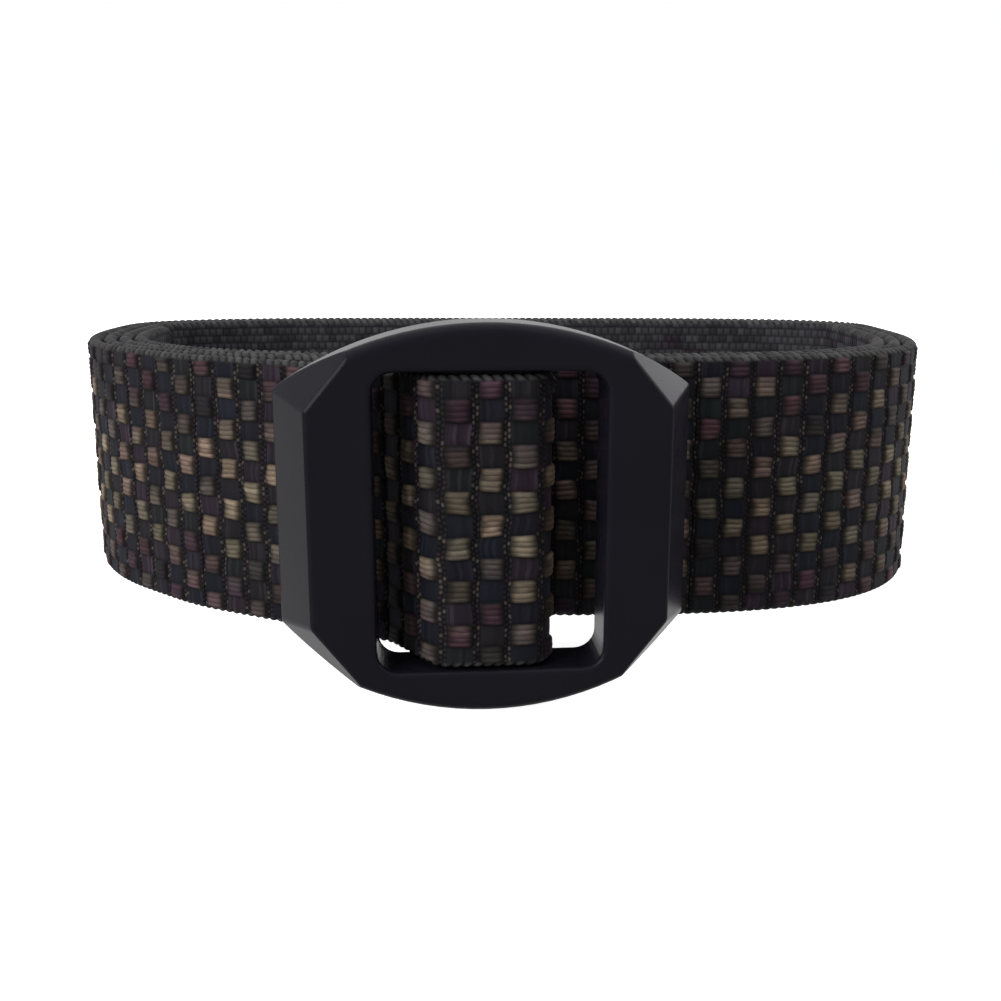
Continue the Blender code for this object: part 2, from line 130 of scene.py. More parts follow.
# Weave: bricks of yarn in columns across the strap, with a narrow beaded column after each
ROWS = 13
ROW = WEB_WIDTH / ROWS
YARNS = 4  # to each brick
COLUMN = 4.05
BRICK = 3.1  # of the column's length
COLUMN_PHASE = -1.6
HALF_ROUND = WEB_WIDTH - WEB_THICK + math.pi * HALF_THICK  # round the section from edge to edge
ROW_MARGIN = (HALF_ROUND - WEB_WIDTH) / 2
VALLEY = (BRICK + COLUMN) / 2  # the middle of a beaded column, where pieces meet
SEED = 11

# Relief: heights over the strap's plain faces
BRICK_TOP = 0.20
BRICK_FOOT = -0.28
YARN_DEPTH = 0.12
SUNK_CROWN = 0.10
BEAD_FOOT = -0.44
BEAD_TOP = -0.12
LIFT_SPREAD = 0.06
LIFT_COLUMNS = 97  # before the same lifts come again
ROUND, FLAT, FLATTER = 2, 3, 4  # powers that shape a dome
BACK_BUMP_LENGTH = COLUMN / 3
BACK_BUMP_HEIGHT = ROW / 2
BACK_LOW = -0.14
BACK_HIGH = 0.02
EDGE_BAND = 1.5  # round the section from an edge's crest, where the weft's loops show
EDGE_RELIEF_FADE = 0.35
EDGE_COLOUR_FADE = 0.5
EDGE_LOOP = COLUMN / 3
EDGE_LOW = -0.5
EDGE_HIGH = 0.0
EDGE_SLANT = 0.32  # of a loop, for each millimetre away from the edge's crest

# How far the weave strays from its even grid
WAVER_ALONG = 0.15
WAVER_UP = 0.13
WAVER_FADE = 4.0  # distance over which it dies away towards the strap's ends
WAVES_ALONG = ((1.0, 0.21, 0.9), (0.5, -0.5, 2.3))  # size, radians a millimetre along and around
WAVES_UP = ((1.0, 0.35, 0.4), (0.5, 1.3, -0.7))

# Fineness of the woven meshes: rings at these places in each column, and points round each ring
RING_STEPS = (0.0, 0.2, 0.45, 0.68, 0.9, 1.15, 1.35, 1.6, 2.02, 2.4, 2.7, 2.92, 3.1, 3.34, 3.575, 3.81)
RING_MARGIN = 0.05  # between a piece's end and its next ring
FINE_ROW_STEPS = 16
BACK_ROW_STEPS = 8
PLAIN = 0  # in place of steps, for a face that lies hidden between turns
PLAIN_EDGE = (0.15, 0.5, 0.9, 1.3, 1.65)  # places round the section near an edge
PLAIN_STEPS = 5  # between the edges
OUTER_PIECES = 4  # that the outer turn's finely woven mesh is divided into

# Lengths over which the webbing turns at the joints
SWIVEL_BEND_AFTER = 2.4

# Camera, in the belt's frame
CAMERA_PLACE = Vector((0.0, -200.5, 55.0))
CAMERA_PITCH = math.radians(13.0)
SENSOR_WIDTH = 36.0
FOCAL_LENGTH = 41.79
CLIP_START = 0.01  # metres

# Colours, as linear red, green and blue
TAN = (0.140, 0.104, 0.075)
SAND = (0.128, 0.104, 0.075)
OLIVE = (0.092, 0.080, 0.057)
ROSE_BROWN = (0.104, 0.070, 0.061)
GREY_BROWN = (0.056, 0.047, 0.043)
MAROON = (0.044, 0.021, 0.027)
PLUM = (0.020, 0.013, 0.020)
INK = (0.0056, 0.0050, 0.0082)
NAVY = (0.0050, 0.0060, 0.0098)
BOTTLE = (0.0060, 0.0075, 0.0082)
SOOT = (0.0085, 0.0074, 0.0090)
EDGE_GREY = (0.032, 0.031, 0.032)
BACK_GREY = (0.030, 0.030, 0.034)
BACK_DARK = (0.024, 0.023, 0.027)
BEAD_GREY = (0.055, 0.048, 0.044)
COAL = (0.0056, 0.0052, 0.0086)
SLATE = (0.0074, 0.0068, 0.0104)

# What a random draw picks from, each colour at its place between 0 and 1
MIDDLE_BRICKS = (
    (0.0, GREY_BROWN),
    (0.25, OLIVE),
    (0.45, SAND),
    (0.65, TAN),
    (0.85, ROSE_BROWN),
    (1.0, GREY_BROWN),
)
OUTER_BRICKS = ((0.0, PLUM), (0.35, MAROON), (0.6, GREY_BROWN), (0.8, SOOT))
SUNK_BLOCKS = ((0.0, INK), (0.35, NAVY), (0.55, PLUM), (0.75, BOTTLE), (0.9, SOOT))
BEADS = ((0.0, SOOT), (0.5, PLUM), (0.75, GREY_BROWN), (0.94, BEAD_GREY))
BACK_BUMPS = ((0.0, BACK_GREY), (0.85, BACK_DARK), (1.0, PLUM))
PLASTIC_CLOUDS = ((0.3, COAL), (0.7, SLATE))
THREAD_TWIST = ((0.3, SOOT), (0.75, EDGE_GREY))

# Where the outer bricks' colours begin and end, as shares of the way from the middle to an edge
OUTER_FROM = 0.3
OUTER_TO = 0.75
OUTER_SCATTER = 0.25

# Brightness, as pairs of factors: the least and the most that a random draw gives
FIBRE_SHADES = (0.3, 1.7)
BRICK_SHADES = (0.65, 1.3)
YARN_SHADES = (0.7, 1.3)
SUNK_SHADES = (0.7, 2.0)
BUMP_SHADES = (0.6, 1.5)
LOOP_SHADES = (0.55, 1.5)

# Painted highlight and shade over a rounded part: the power that shapes it, then the brightness factor
# in its middle and at its sides
YARN_PAINTED_SHADE = (3.0, 1.1, 0.55)
BRICK_PAINTED_SHADE = (5.0, 1.1, 0.4)
SUNK_PAINTED_SHADE = (5.0, 1.1, 0.35)
BUMP_PAINTED_SHADE = (3.0, 1.2, 0.35)
LOOP_PAINTED_SHADE = (2.0, 1.2, 0.12)

# Yarns in the weave's colours
BRICK_END_PAINTED_SHADE = (0.15, 1.2)  # painted shade at a brick's ends and painted highlight away from them
TEETH_FADE = 0.6  # from a brick's end, over which the painted shade on each of its yarns fades
TEETH = (0.1, 0.9)  # the least and the most that a random draw adds to it
BEAD_CORE = 0.3  # of a bead's half width, that is free of painted shade
BEAD_PAINTED_SHADE = (1.2, 0.15)  # brightness in the core, a painted highlight, and at the bead's rim, painted shade
UPRIGHTS = 2.2  # sunk yarns in each millimetre
UPRIGHT_STRIDE = 11.0  # more than the sunk yarns in a column
UPRIGHT_RARENESS = 3.0  # power that leaves few of them bright

# The part that each random draw is for, so that no two draws are alike
(
    FOR_BRICK,
    FOR_OUTER,
    FOR_YARN,
    FOR_TOOTH,
    FOR_SUNK,
    FOR_UPRIGHT,
    FOR_BEAD,
    FOR_BACK,
    FOR_BUMP,
    FOR_LOOP,
    FOR_BRICK_SHADE,
) = range(1, 12)

# Surfaces: noises by scale, detail and roughness, and bumps by strength and depth in metres
FIBRE_NOISE = (1.1, 3.0, 0.7)
RAISED_FIBRES = 9.0  # finer across the fibres than along them, by this factor
SUNK_FIBRES = 7.0
SUNK_FIBRES_PLACE = 4.0  # apart from the raised fibres in the noise
FIBRE_BUMP = (0.5, 0.00012)
WEBBING_ROUGHNESS = (0.50, 0.85)
SEALED_SMOOTHER = 0.3
WEBBING_GLOSS = 0.08
GRAIN_NOISE = (2600.0, 3.0, 0.6)
GRAIN_BUMP = (0.25, 0.00003)
CLOUD_NOISE = (90.0, 2.0, 0.5)
PLASTIC_ROUGHNESS = (0.22, 0.32)
PLASTIC_GLOSS = 0.055
EDGE_ROUND = 0.0005
EDGE_ROUND_SAMPLES = 8
TWIST_NOISE = (4200.0, 2.0, 0.6)
TWIST_BUMP = (0.6, 0.00008)
THREAD_ROUGHNESS = 0.6

# Studio, in metres
FLOOR_SIZE = 6.0
FLOOR_WHITE = 0.92
FLOOR_ROUGHNESS = 0.9
FLOOR_GLOW = 0.9
SKY_GLOW = 1.0
BELT_MIDDLE = Vector((0.0, 0.0, 0.025))
SKY_LIGHTS = (  # each with its place, its spread in degrees and its strength
    ("key", (-0.83, -0.52, 0.50), 40.0, 2.7),
    ("glint", (-0.60, -0.70, 0.36), 14.0, 0.6),
    ("top", (0.05, 0.10, 1.0), 80.0, 1.6),
    ("fill", (0.10, -0.90, 0.60), 170.0, 0.7),
    ("right", (0.88, 0.14, 0.50), 34.0, 1.5),
    ("back", (0.65, 0.73, 0.28), 24.0, 0.25),
)


# Plan-view curves


def left_of(v):
    """The direction a quarter turn anticlockwise, seen from above; v may be one vector or rows."""
    return np.stack((-v[..., 1], v[..., 0]), -1)


def unit(v):
    return v / np.linalg.norm(v, axis=-1, keepdims=True)


def heading(angle):
    return np.stack((np.cos(angle), np.sin(angle)), -1)


def oval(angle):
    """Points of the coil's outer oval, at those angles about the coil's centre."""
    c, s = np.cos(angle), np.sin(angle)
    half_width = np.where(c > 0, COIL_RIGHT, COIL_LEFT)
    half_depth = np.where(s > 0, COIL_BACK, COIL_FRONT)
    front = np.where(c > 0, SQUARE_FRONT_RIGHT, SQUARE_FRONT_LEFT)
    n = np.where(s > 0, SQUARE_BACK, front)
    reach = (np.abs(c / half_width) ** n + np.abs(s / half_depth) ** n) ** (-1 / n)
    return COIL_CENTRE + reach[..., None] * heading(angle)


def wound(turned, inset):
    """Points after turning that far round the coil, inset from the outer face of their turn."""
    turned = np.asarray(turned, float)
    angle = START_ANGLE - turned
    along = unit(oval(angle - TINY_TURN) - oval(angle + TINY_TURN))
    depth = inset + TURN_PITCH * turned / (2 * math.pi)
    return oval(angle) - left_of(along) * depth[..., None]


def crossing(a, along_a, b, along_b):
    """Where two lines meet, each given by a point and a direction."""
    share = (b - a) @ left_of(along_b) / (along_a @ left_of(along_b))
    return a + along_a * share


def arc(centre, radius, start, end):
    count = max(2, math.ceil(abs(end - start) / ARC_STEP))
    return centre + radius * heading(np.linspace(start, end, count + 1))


def rounded(corners, radii):
    """A path along straight runs, whose inner corners are arcs of the given radii."""
    runs = [corners[0][None]]
    for before, corner, after, radius in zip(corners, corners[1:], corners[2:], radii):
        into, out = unit(corner - before), unit(after - corner)
        turn = math.atan2(into[0] * out[1] - into[1] * out[0], into @ out)
        side = left_of(into) * math.copysign(radius, turn)
        centre = corner - into * radius * math.tan(abs(turn) / 2) + side
        start = math.atan2(-side[1], -side[0])
        runs.append(arc(centre, radius, start, start + turn))
    runs.append(corners[-1][None])
    return np.vstack(runs)


def bar_arc(across, start, end):
    """Part of the webbing's turn round an edge of the centre bar."""
    c, s = math.cos(FRAME_YAW), math.sin(FRAME_YAW)
    turned = np.array((across * c - BAR_DEPTH * s, across * s + BAR_DEPTH * c))
    return arc(FRAME_CENTRE + turned, LOOP_RADIUS, start, end)


def lead_line():
    """A point and the direction of the lead's straight run, on its centre line."""
    along = heading(-LEAD_SLOPE)
    return LEAD_POINT + left_of(along) * HALF_THICK, along


def bar_left_arc():
    return bar_arc(BAR_LEFT, -math.pi / 2 - LOOP_SLOPE, FRAME_YAW - math.pi / 2)


def lead_path():
    """Centre line from the coil's outer end to the front of the centre bar."""
    start = wound(0.0, HALF_THICK)
    leaving = unit(start - wound(SMALL_TURN, HALF_THICK))
    lead, along = lead_line()
    bar_edge = bar_left_arc()
    rising = heading(-LOOP_SLOPE)
    corners = [
        start,
        crossing(start, leaving, lead, along),
        crossing(lead, along, bar_edge[0], rising),
        bar_edge[0],
    ]
    return np.vstack((rounded(corners, (LEAD_ROUND, BEND_ROUND)), bar_edge))


def return_path():
    """Centre line from the front of the bar, round its right edge and back to the sewn end."""
    turn = bar_arc(BAR_RIGHT, FRAME_YAW - math.pi / 2, FRAME_YAW + math.pi / 2)
    spacing = WEB_THICK + GAP
    lead, along = lead_line()
    lead = lead + left_of(along) * spacing
    rising = heading(-LOOP_SLOPE)
    beside = bar_left_arc()[0] + left_of(rising) * spacing
    corners = [
        turn[-1],
        crossing(turn[-1], -heading(FRAME_YAW), beside, rising),
        crossing(beside, rising, lead, along),
        crossing(lead, along, np.array((RETURN_END_X, 0.0)), np.array((0.0, 1.0))),
    ]
    return np.vstack((turn, rounded(corners, (RETURN_ROUND, BEND_ROUND + spacing))))


class Strap:
    """The strap's centre line, by the distance from where it leaves the coil.

    The distance is positive inwards along the coil and negative out to the buckle.
    """

    def __init__(self):
        outside = np.vstack((lead_path(), return_path()))
        inside = wound(np.linspace(0.0, 2 * math.pi * TURNS, COIL_POINTS), HALF_THICK)
        points = np.vstack((outside[::-1], inside[1:]))
        steps = np.linalg.norm(np.diff(points, axis=0), axis=1)
        points = points[np.append(True, steps > SAME_PLACE)]
        lengths = np.append(0.0, np.cumsum(np.linalg.norm(np.diff(points, axis=0), axis=1)))
        at_start = np.argmin(np.linalg.norm(points - inside[0], axis=1))
        even = np.linspace(0.0, lengths[-1], math.ceil(lengths[-1] / STRAP_STEP))
        sides = [np.interp(even, lengths, points[:, side]) for side in (0, 1)]
        self.points = np.stack(sides, -1)
        self.distances = even - lengths[at_start]
        self.first, self.last = self.distances[0], self.distances[-1]

    def at(self, distance):
        x = np.interp(distance, self.distances, self.points[:, 0])
        y = np.interp(distance, self.distances, self.points[:, 1])
        return np.stack((x, y), -1)

    def outwards(self, distance):
        """The direction square to the strap, out of the face that shows on the coil."""
        return left_of(unit(self.at(distance + SIDE_REACH) - self.at(distance - SIDE_REACH)))

    def nearest(self, place):
        """The distance along the strap that comes nearest to a point in plan view."""
        return self.distances[np.argmin(np.linalg.norm(self.points - place, axis=1))]


STRAP = Strap()
JOINTS = {joint["name"]: joint for joint in frame["joints"]}


def belt_to_world():
    """The belt's own frame in the world: the strap's hinges stand along its Z axis."""
    up = Vector(JOINTS["buckle_swivel"]["axis"]).normalized()
    right = Vector((1.0, 0.0, 0.0))
    axes = Matrix((right, up.cross(right), up)).transposed()
    start = wound(0.0, 0.0)
    pivot = Vector((start[0], start[1], WEB_WIDTH / 2)) * MM
    place = Vector(JOINTS["strap_peel"]["pos_m"]) - axes @ pivot
    return Matrix.Translation(place) @ axes.to_4x4() @ Matrix.Scale(MM, 4)


BELT = belt_to_world()


def to_world(points):
    matrix = np.array(BELT)
    return points @ matrix[:3, :3].T + matrix[:3, 3]


# Webbing


def groove(near):
    """The middle of the beaded column nearest to that distance along the strap."""
    return round((near - COLUMN_PHASE - VALLEY) / COLUMN) * COLUMN + COLUMN_PHASE + VALLEY


def ring_places(start, end):
    """Distances along the strap of a piece's rings, closer together where its relief is steep."""
    first = math.floor((start - COLUMN_PHASE) / COLUMN)
    last = math.ceil((end - COLUMN_PHASE) / COLUMN)
    columns = range(first, last)
    places = [COLUMN_PHASE + column * COLUMN + step for column in columns for step in RING_STEPS]
    inside = [place for place in places if start + RING_MARGIN < place < end - RING_MARGIN]
    return np.array([start, *inside, end])


def face_places(steps):
    """Places round half the section, from the lower to the upper edge; steps is for each row."""
    if steps != PLAIN:
        step = ROW / steps
        below = math.floor(ROW_MARGIN / step)
        return ROW_MARGIN + step * np.arange(-below, ROWS * steps + below + 1)
    edge = np.array(PLAIN_EDGE)
    middle = np.linspace(edge[-1], HALF_ROUND - edge[-1], PLAIN_STEPS + 1)[1:-1]
    return np.concatenate((edge, middle, HALF_ROUND - edge[::-1]))


def section_shape(around):
    """For places round half a section: how far out and up they are, and their outward direction."""
    quarter = math.pi / 2
    low = np.clip(around / HALF_THICK, 0, quarter)
    high = np.clip((HALF_ROUND - around) / HALF_THICK, 0, quarter)
    flat = np.clip(around - HALF_THICK * quarter, 0, WEB_WIDTH - WEB_THICK)
    out = HALF_THICK * np.minimum(np.sin(low), np.sin(high))
    up = HALF_THICK * (1 - np.cos(low) + np.cos(high)) + flat
    return out, up, np.minimum(np.sin(low), np.sin(high)), np.cos(high) - np.cos(low)


def dome(share, power):
    """A rounded profile over shares from 0 to 1: 1 in the middle and 0 at both ends."""
    return np.sqrt(np.clip(1 - np.abs(2 * share - 1) ** power, 0, 1))


def lift(column, row):
    """How much each brick stands above or below the others, the same on every run."""
    draw = np.random.default_rng(SEED).uniform
    lifts = draw(-LIFT_SPREAD, LIFT_SPREAD, (LIFT_COLUMNS, ROWS))
    return lifts[column.astype(int) % LIFT_COLUMNS, np.clip(row, 0, ROWS - 1).astype(int)]


def face_relief(along, around):
    """Height of the patterned face over the strap's plain face."""
    columns = (along - COLUMN_PHASE) / COLUMN
    column = np.floor(columns)
    within = (columns - column) * COLUMN
    rows = (around - ROW_MARGIN) / ROW
    row = np.floor(rows)
    up = rows - row
    yarn = dome((rows * YARNS) % 1.0, ROUND)
    brick = dome(np.clip(within / BRICK, 0, 1), FLAT) * np.sqrt(dome(up, FLATTER))
    raised = BRICK_FOOT + (BRICK_TOP - BRICK_FOOT) * brick - YARN_DEPTH * (1 - yarn) * brick
    sunk = BRICK_FOOT + SUNK_CROWN * dome(up, ROUND)
    woven = np.where((row + column) % 2 == 0, raised, sunk) + lift(column, row) * brick
    half = (COLUMN - BRICK) / 2
    second = within > BRICK + half
    bead_share = np.clip((within - BRICK - half * second) / half, 0, 1)
    bead_up = (rows * YARNS + 0.5 * second) % 1.0
    beads = BEAD_FOOT + (BEAD_TOP - BEAD_FOOT) * dome(bead_share, ROUND) * dome(bead_up, ROUND)
    return np.where(within < BRICK, woven, beads)


def back_relief(along, around):
    """Height of the reverse face: small bumps in offset rows."""
    rows = (around - ROW_MARGIN) / BACK_BUMP_HEIGHT
    shift = 0.5 * (np.floor(rows) % 2)
    bump = dome((along / BACK_BUMP_LENGTH + shift) % 1.0, ROUND) * dome(rows % 1.0, ROUND)
    return BACK_LOW + (BACK_HIGH - BACK_LOW) * bump


def edge_relief(along, from_edge):
    """Height of the slanting loops that the weft makes round the strap's edges.

    from_edge is the way round the section from the edge's crest, and negative on the reverse face.
    """
    loop = dome((along / EDGE_LOOP + EDGE_SLANT * from_edge) % 1.0, ROUND)
    return EDGE_LOW + (EDGE_HIGH - EDGE_LOW) * loop


def strap_relief(along, around, outer):
    """The strap's whole relief; outer is true on the face that shows on the coil."""
    face = np.where(outer, face_relief(along, around), back_relief(along, around))
    from_edge = np.minimum(around, HALF_ROUND - around)
    share = np.clip((EDGE_BAND - from_edge) / EDGE_RELIEF_FADE, 0, 1)
    edge = edge_relief(along, np.where(outer, from_edge, -from_edge))
    return face * (1 - share) + edge * share


def waves(parts, along, around):
    """A sum of waves that run slantwise over the strap."""
    return sum(size * np.sin(rate * along + cross * around) for size, rate, cross in parts)


def waver(along, around):
    """How far the weave strays from its even grid, along the strap and up it."""
    from_end = np.minimum(along - STRAP.first, STRAP.last - along)
    inwards = np.sin(math.pi * around / HALF_ROUND) * np.clip(from_end / WAVER_FADE, 0, 1)
    shift_along = WAVER_ALONG * inwards * waves(WAVES_ALONG, along, around)
    shift_up = WAVER_UP * inwards * waves(WAVES_UP, along, around)
    return shift_along, shift_up


def tip_trim(along):
    """How far the sealed end's rounded corners cut in, and how much of the relief has melted."""
    past = np.clip(along - (STRAP.last - TIP_CORNER), 0, TIP_CORNER)
    cut_back = TIP_CORNER - np.sqrt(TIP_CORNER**2 - past**2)
    melted = np.clip((along - (STRAP.last - MELT_START)) / MELT_FADE, 0, 1)
    return cut_back, melted


def strap_piece(name, start, end, outer_steps, inner_steps, material):
    """A closed stretch of webbing between two distances along the strap."""
    along = ring_places(start, end)
    outer_places = face_places(outer_steps)
    inner_places = face_places(inner_steps)[::-1]
    around = np.concatenate((outer_places, inner_places))
    outer = np.arange(len(around)) < len(outer_places)
    out, up, normal_out, normal_up = section_shape(around)
    relief = strap_relief(along[:, None], around[None], outer[None])
    cut_back, melted = tip_trim(along)
    relief = relief * (1 - melted[:, None]) - MELT_SINK * melted[:, None]
    across = np.where(outer, 1.0, -1.0) * (out + relief * normal_out)
    height = up + relief * normal_up
    height = cut_back[:, None] + height * (1 - 2 * cut_back[:, None] / WEB_WIDTH)
    shift_along, shift_up = waver(along[:, None], around[None])
    height = height + shift_up
    reached = along[:, None] + shift_along
    plan = STRAP.at(reached) + STRAP.outwards(reached) * across[..., None]
    points = np.concatenate((plan, height[..., None]), -1).reshape(-1, 3)
    texture = np.where(outer, around, -around)
    return woven_mesh(name, to_world(points), along, texture, len(outer_places), material)


def woven_mesh(name, points, along, texture, outer_count, material):
    """Joins rings of points into a closed mesh, with its place on the strap as a UV map."""
    rings, count = len(along), len(texture)
    ring, place = np.meshgrid(np.arange(rings - 1), np.arange(count), indexing="ij")
    following = (place + 1) % count
    corners = (
        ring * count + place,
        ring * count + following,
        (ring + 1) * count + following,
        (ring + 1) * count + place,
    )
    quads = np.stack(corners, -1).reshape(-1, 4)
    first = list(range(count))[::-1]
    last = list(range((rings - 1) * count, rings * count))
    mesh = bpy.data.meshes.new(name)
    mesh.from_pydata(points.tolist(), [], quads.tolist() + [first, last])
    far = texture[following].copy()
    far[:, outer_count - 1] = 2 * HALF_ROUND + texture[outer_count]
    near = texture[place]
    here, ahead = along[ring], along[ring + 1]
    sides = np.stack((here, near, here, far, ahead, far, ahead, near), -1).reshape(-1, 2)
    caps = [np.stack((np.full(count, along[0]), texture[::-1]), -1)]
    caps.append(np.stack((np.full(count, along[-1]), texture), -1))
    layer = mesh.uv_layers.new(name="weave")
    layer.data.foreach_set("uv", np.vstack((sides, *caps)).astype(np.float32).ravel())
    smooth = np.ones(len(mesh.polygons), bool)
    smooth[-2:] = False
    mesh.polygons.foreach_set("use_smooth", smooth)
    mesh.materials.append(material)
    piece = bpy.data.objects.new(name, mesh)
    bpy.context.scene.collection.objects.link(piece)
    return piece


def turn_end(turns):
    """The distance along the strap after that many turns of the coil."""
    return STRAP.nearest(wound(2 * math.pi * turns, HALF_THICK))


def lead_point(x):
    """The point of the lead's centre line at that X."""
    lead, along = lead_line()
    return lead + along * ((x - lead[0]) / along[0])


def make_webbing(woven, sealed):
    """The strap, as stretches that meet in its beaded columns."""
    flex = STRAP.nearest(lead_point(FLEX_X))
    loop_end = groove(flex - SWIVEL_BEND_AFTER - LOOP_PAST_BEND)
    lead_middle = groove(flex / 2)
    coil_start = groove(COIL_PIECE_START)
    tip_start = groove(STRAP.last - TIP_LENGTH)
    make_loop(STRAP.first, loop_end, woven)
    make_swivel_bend(loop_end, lead_middle, woven)
    make_peel_bend(lead_middle, coil_start, woven)
    make_coil(coil_start, tip_start, woven)
    make_sealed_end(tip_start, STRAP.last, sealed)


def make_loop(start, end, woven):
    """The webbing's turn round the centre bar, with both of its layers behind the frame."""
    loop = strap_piece("webbing_round_bar", start, end, FINE_ROW_STEPS, BACK_ROW_STEPS, woven)
    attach(loop, "buckle")
    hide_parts("webbing_loop")


def make_swivel_bend(start, end, woven):
    """The webbing that bends behind the frame as the buckle swings."""
    swivel = strap_piece("webbing_at_buckle", start, end, FINE_ROW_STEPS, BACK_ROW_STEPS, woven)
    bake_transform(swivel)
    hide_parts("webbing_loop", "webbing_lead")


def make_peel_bend(start, end, woven):
    """The webbing that bends where the lead leaves the coil."""
    peel = strap_piece("webbing_at_coil", start, end, FINE_ROW_STEPS, BACK_ROW_STEPS, woven)
    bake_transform(peel)
    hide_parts("webbing_lead")


def coil_stretches(start, end):
    """The coil's pieces: name, start, end, and the steps in each row of both faces."""
    outer_end = groove(turn_end(1.0) + OUTER_OVERLAP)
    inner_start = groove(turn_end(TURNS - 1.0))
    halfway = groove((inner_start + end) / 2)
    shares = np.linspace(0.0, 1.0, OUTER_PIECES + 1)
    cuts = [groove(start + (outer_end - start) * share) for share in shares]
    outer = [
        (f"webbing_outer_turn_{number}", near, far, FINE_ROW_STEPS, PLAIN)
        for number, (near, far) in enumerate(zip(cuts, cuts[1:]), start=1)
    ]
    return [
        *outer,
        ("webbing_middle_turn", outer_end, inner_start, PLAIN, PLAIN),
        ("webbing_inner_turn_1", inner_start, halfway, PLAIN, BACK_ROW_STEPS),
        ("webbing_inner_turn_2", halfway, end, PLAIN, BACK_ROW_STEPS),
    ]


def make_coil(start, end, woven):
    for stretch in coil_stretches(start, end):
        piece = strap_piece(*stretch, woven)
        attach(piece, "coil")
        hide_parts("webbing_coil")


def make_sealed_end(start, end, sealed):
    tip = strap_piece("webbing_sealed_end", start, end, BACK_ROW_STEPS, BACK_ROW_STEPS, sealed)
    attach(tip, "coil")
    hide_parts("tail_tip")


# Stitching


def tube(name, runs, radius, material):
    """Closed tubes along open runs of points, as one mesh."""
    vertices = []
    faces = []
    for run in runs:
        faces += tube_faces(len(run), len(vertices))
        vertices += tube_points(np.array(run), radius)
    mesh = bpy.data.meshes.new(name)
    mesh.from_pydata(to_world(np.array(vertices)).tolist(), [], faces)
    mesh.shade_smooth()
    mesh.materials.append(material)
    piece = bpy.data.objects.new(name, mesh)
    bpy.context.scene.collection.objects.link(piece)
    return piece


def tube_points(run, radius):
    """Rings of points round a run."""
    along = unit(np.gradient(run, axis=0))
    across = unit(np.cross(along, THREAD_ASIDE))
    over = np.cross(along, across)
    angles = [2 * math.pi * k / THREAD_SIDES for k in range(THREAD_SIDES)]
    return [
        point + radius * (math.cos(a) * side + math.sin(a) * top)
        for point, side, top in zip(run, across, over)
        for a in angles
    ]


def tube_faces(rings, base):
    """The faces between a tube's rings and over its ends, for points numbered from base."""
    sides = range(THREAD_SIDES)
    faces = []
    for ring in range(rings - 1):
        low = base + ring * THREAD_SIDES
        high = low + THREAD_SIDES
        for k in sides:
            j = (k + 1) % THREAD_SIDES
            faces.append((low + k, low + j, high + j, high + k))
    end = base + (rings - 1) * THREAD_SIDES
    faces.append(tuple(base + k for k in reversed(sides)))
    faces.append(tuple(end + k for k in sides))
    return faces


def tack_run(centre, along, across, face):
    """A zigzag of thread over one face, up the height of a bar tack."""
    run = []
    count = round(TACK_HEIGHT / TACK_PITCH)
    outwards = math.copysign(1.0, face)
    for i in range(count + 1):
        side = 1 if i % 2 else -1
        level = (i / count - 0.5) * TACK_HEIGHT
        for share in (-0.5, 0.0, 0.5):
            depth = -STITCH_SINK if share else STITCH_CROWN
            reach = side * share * STITCH_FILL * TACK_WIDTH
            place = centre - along * reach + across * (face + outwards * depth)
            run.append((place[0], place[1], level + share * STITCH_RISE * TACK_PITCH))
    return run


def make_stitching(thread):
    """A bar tack in two columns of three: thread over the front layer and over the back layer."""
    lead, along = lead_line()
    across = left_of(along)
    middle = lead + across * (WEB_THICK + GAP) / 2
    face = WEB_THICK + GAP / 2 + THREAD_RADIUS * THREAD_PROUD
    number = 0
    for x in TACK_XS:
        centre = middle + along * ((x - middle[0]) / along[0])
        for row in range(TACK_ROWS):
            number += 1
            height = (row + 0.5) * WEB_WIDTH / TACK_ROWS
            runs = [tack_run(centre, along, across, side * face) for side in (-1, 1)]
            runs = [[(px, py, pz + height) for px, py, pz in run] for run in runs]
            piece = tube(f"stitching_{number}", runs, THREAD_RADIUS, thread)
            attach(piece, "buckle")
            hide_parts(f"bar_tack_{number}")


# Materials


